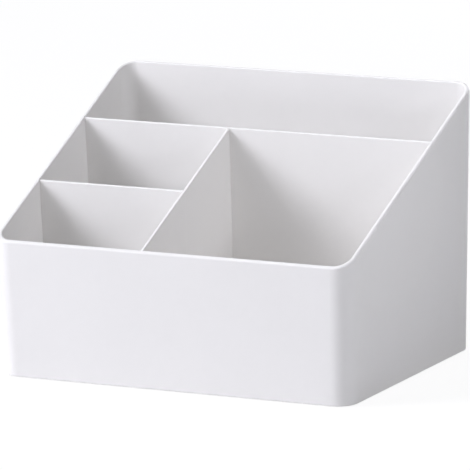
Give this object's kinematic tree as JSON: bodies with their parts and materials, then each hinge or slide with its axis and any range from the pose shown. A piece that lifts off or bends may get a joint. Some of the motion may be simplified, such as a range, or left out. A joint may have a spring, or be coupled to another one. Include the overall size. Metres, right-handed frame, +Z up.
{
  "type": "desk storage box",
  "caption": "White open-topped desk storage box whose rim slopes up from a low front to a high back, with thin lift-out dividers and rubber feet.",
  "frame": {"origin": "on the desk, under the middle of the box's outline", "axes": "+X to the right of someone at the low front, +Y from front to back, +Z up"},
  "size_m": [0.2496, 0.1812, 0.1693],
  "materials": {
    "white_plastic": "satin moulded white plastic, very slightly warm",
    "foot_rubber": "matt grey rubber"
  },
  "bodies": {
    "tub": {"box_tub": "white_plastic", "foot_front_left": "foot_rubber", "foot_front_right": "foot_rubber", "foot_rear_left": "foot_rubber", "foot_rear_right": "foot_rubber"},
    "rear_divider": {"rear_divider": "white_plastic"},
    "centre_divider": {"centre_divider": "white_plastic"},
    "left_divider": {"left_divider": "white_plastic"}
  },
  "joints": [
    {"name": "rear_divider_lift", "type": "slide", "parent": "tub", "child": "rear_divider", "axis": [0, 0, 1], "range_m": [0, 0.17]},
    {"name": "centre_divider_lift", "type": "slide", "parent": "tub", "child": "centre_divider", "axis": [0, 0, 1], "range_m": [0, 0.17]},
    {"name": "left_divider_lift", "type": "slide", "parent": "tub", "child": "left_divider", "axis": [0, 0, 1], "range_m": [0, 0.17]}
  ]
}
